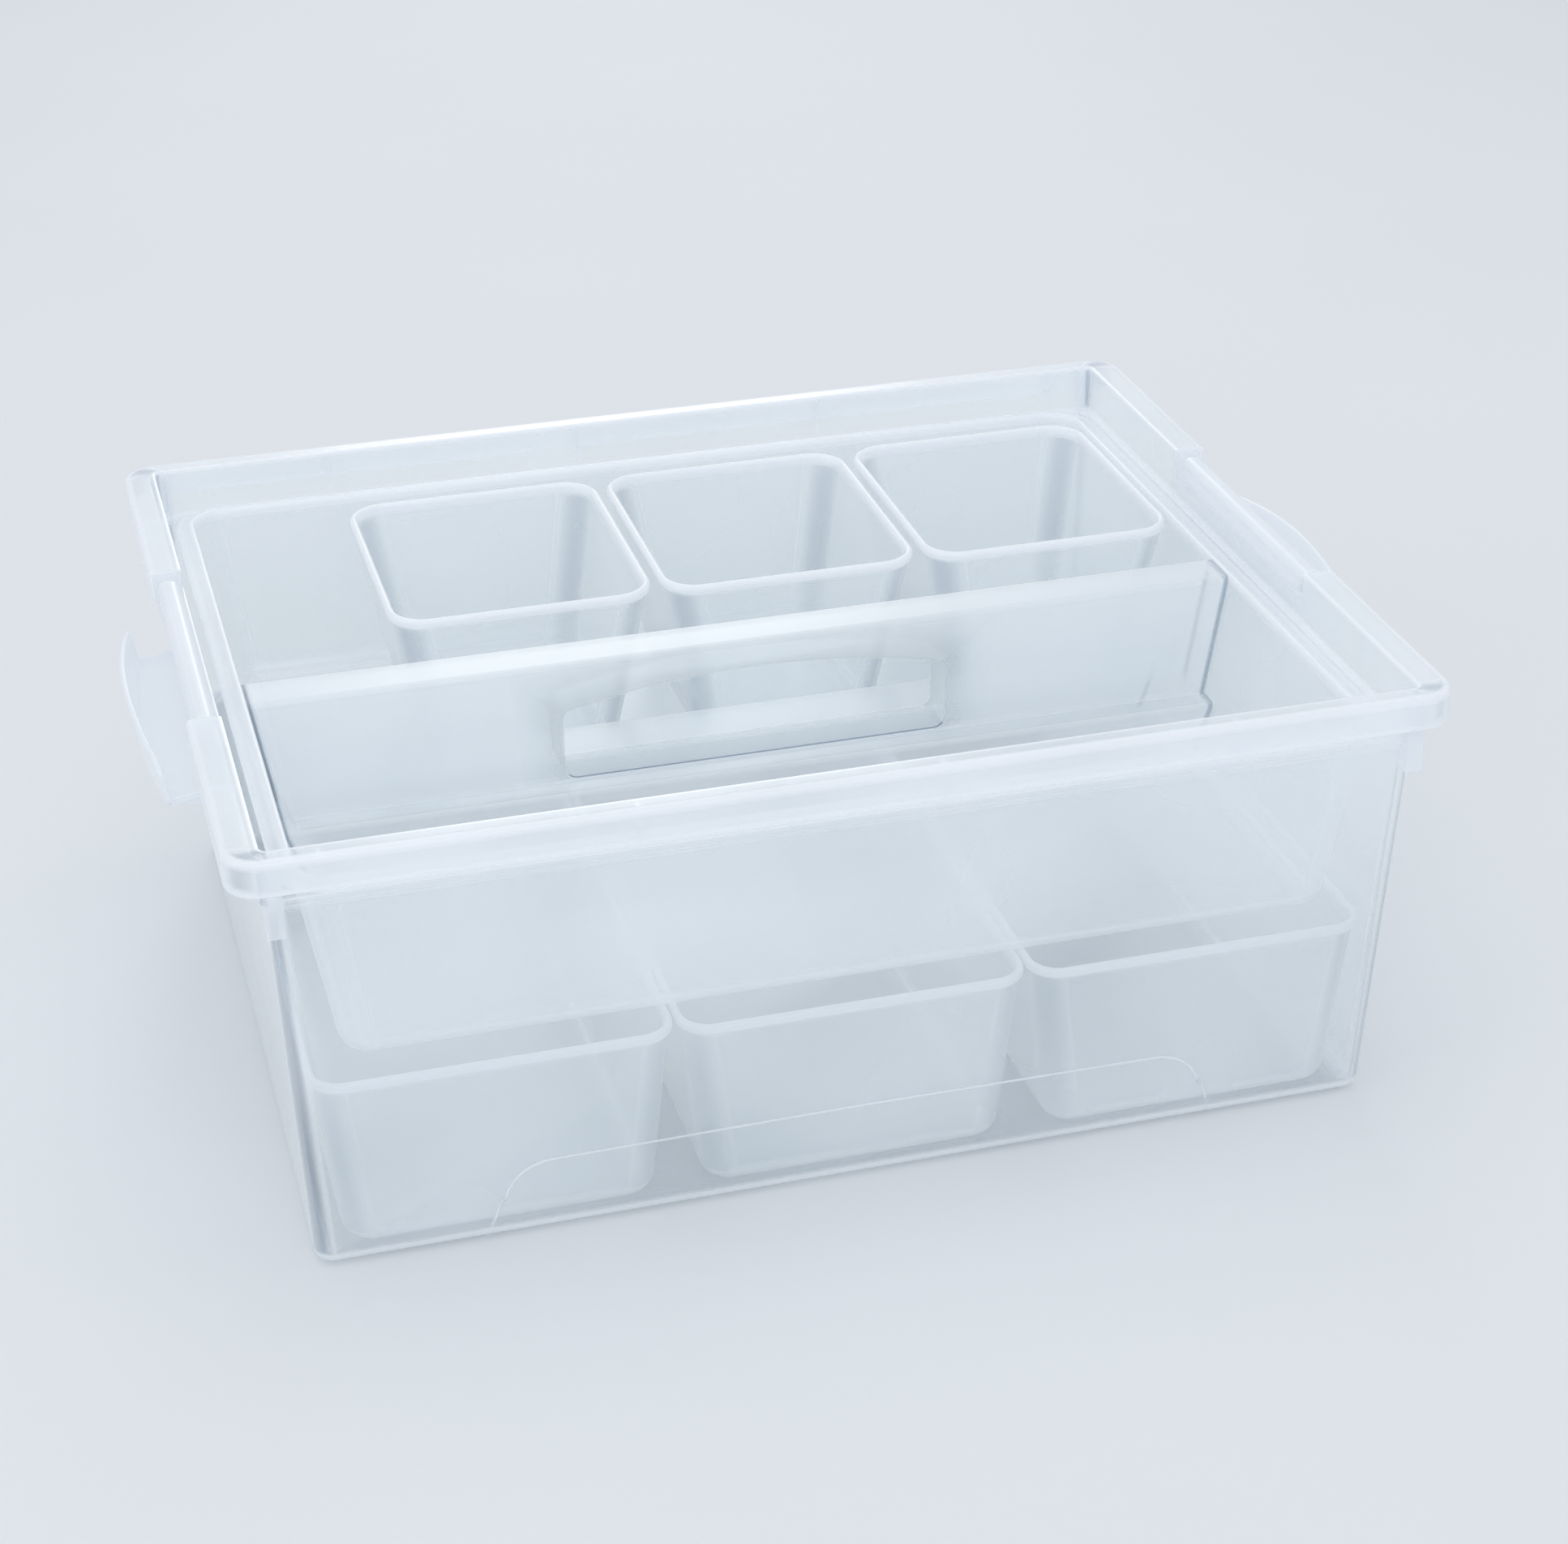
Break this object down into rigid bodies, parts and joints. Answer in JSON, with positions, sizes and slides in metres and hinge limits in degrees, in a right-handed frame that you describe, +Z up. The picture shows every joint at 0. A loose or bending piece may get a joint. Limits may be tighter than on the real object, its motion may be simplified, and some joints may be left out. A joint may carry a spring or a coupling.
{
  "type": "storage box with lift-out trays",
  "caption": "Clear storage box with two wing latches, a lift-out tray with a carrying handle that holds three cups, and three long bins below the tray.",
  "frame": {"origin": "centre of the footprint, on the surface the box stands on", "axes": "+X along the long sides towards the right-hand latch, +Y towards the long side behind the cups, +Z up"},
  "size_m": [0.5304, 0.392, 0.195],
  "materials": {
    "clear_tub": "gloss",
    "clear_tray": "gloss",
    "frosted_cup": "satin",
    "frosted_bin": "satin",
    "latch_plastic": "gloss"
  },
  "bodies": {
    "tub": {"tub": "clear_tub"},
    "latch_left": {"latch_left": "latch_plastic"},
    "latch_right": {"latch_right": "latch_plastic"},
    "insert_tray": {"insert_tray": "clear_tray"},
    "cup_left": {"cup_left": "frosted_cup"},
    "cup_middle": {"cup_middle": "frosted_cup"},
    "cup_right": {"cup_right": "frosted_cup"},
    "bin_left": {"bin_left": "frosted_bin"},
    "bin_middle": {"bin_middle": "frosted_bin"},
    "bin_right": {"bin_right": "frosted_bin"}
  },
  "joints": [
    {"name": "latch_left_swing", "type": "hinge", "parent": "tub", "child": "latch_left", "pos_m": [-0.2373, 0, 0.1862], "axis": [0, 1, 0], "range_deg": [0, 115]},
    {"name": "latch_right_swing", "type": "hinge", "parent": "tub", "child": "latch_right", "pos_m": [0.2373, 0, 0.1862], "axis": [0, -1, 0], "range_deg": [0, 115]},
    {"name": "tray_lift", "type": "slide", "parent": "tub", "child": "insert_tray", "axis": [0, 0, 1], "range_m": [0, 0.4]},
    {"name": "cup_left_lift", "type": "slide", "parent": "insert_tray", "child": "cup_left", "axis": [0, 0, 1], "range_m": [0, 0.1]},
    {"name": "cup_middle_lift", "type": "slide", "parent": "insert_tray", "child": "cup_middle", "axis": [0, 0, 1], "range_m": [0, 0.1]},
    {"name": "cup_right_lift", "type": "slide", "parent": "insert_tray", "child": "cup_right", "axis": [0, 0, 1], "range_m": [0, 0.1]},
    {"name": "bin_left_lift", "type": "slide", "parent": "tub", "child": "bin_left", "axis": [0, 0, 1], "range_m": [0, 0.2]},
    {"name": "bin_middle_lift", "type": "slide", "parent": "tub", "child": "bin_middle", "axis": [0, 0, 1], "range_m": [0, 0.2]},
    {"name": "bin_right_lift", "type": "slide", "parent": "tub", "child": "bin_right", "axis": [0, 0, 1], "range_m": [0, 0.2]}
  ],
  "couplings": [
    {"joint": "bin_left_lift", "follows": "tray_lift", "ratio": 0.5},
    {"joint": "bin_middle_lift", "follows": "tray_lift", "ratio": 0.5},
    {"joint": "bin_right_lift", "follows": "tray_lift", "ratio": 0.5}
  ]
}
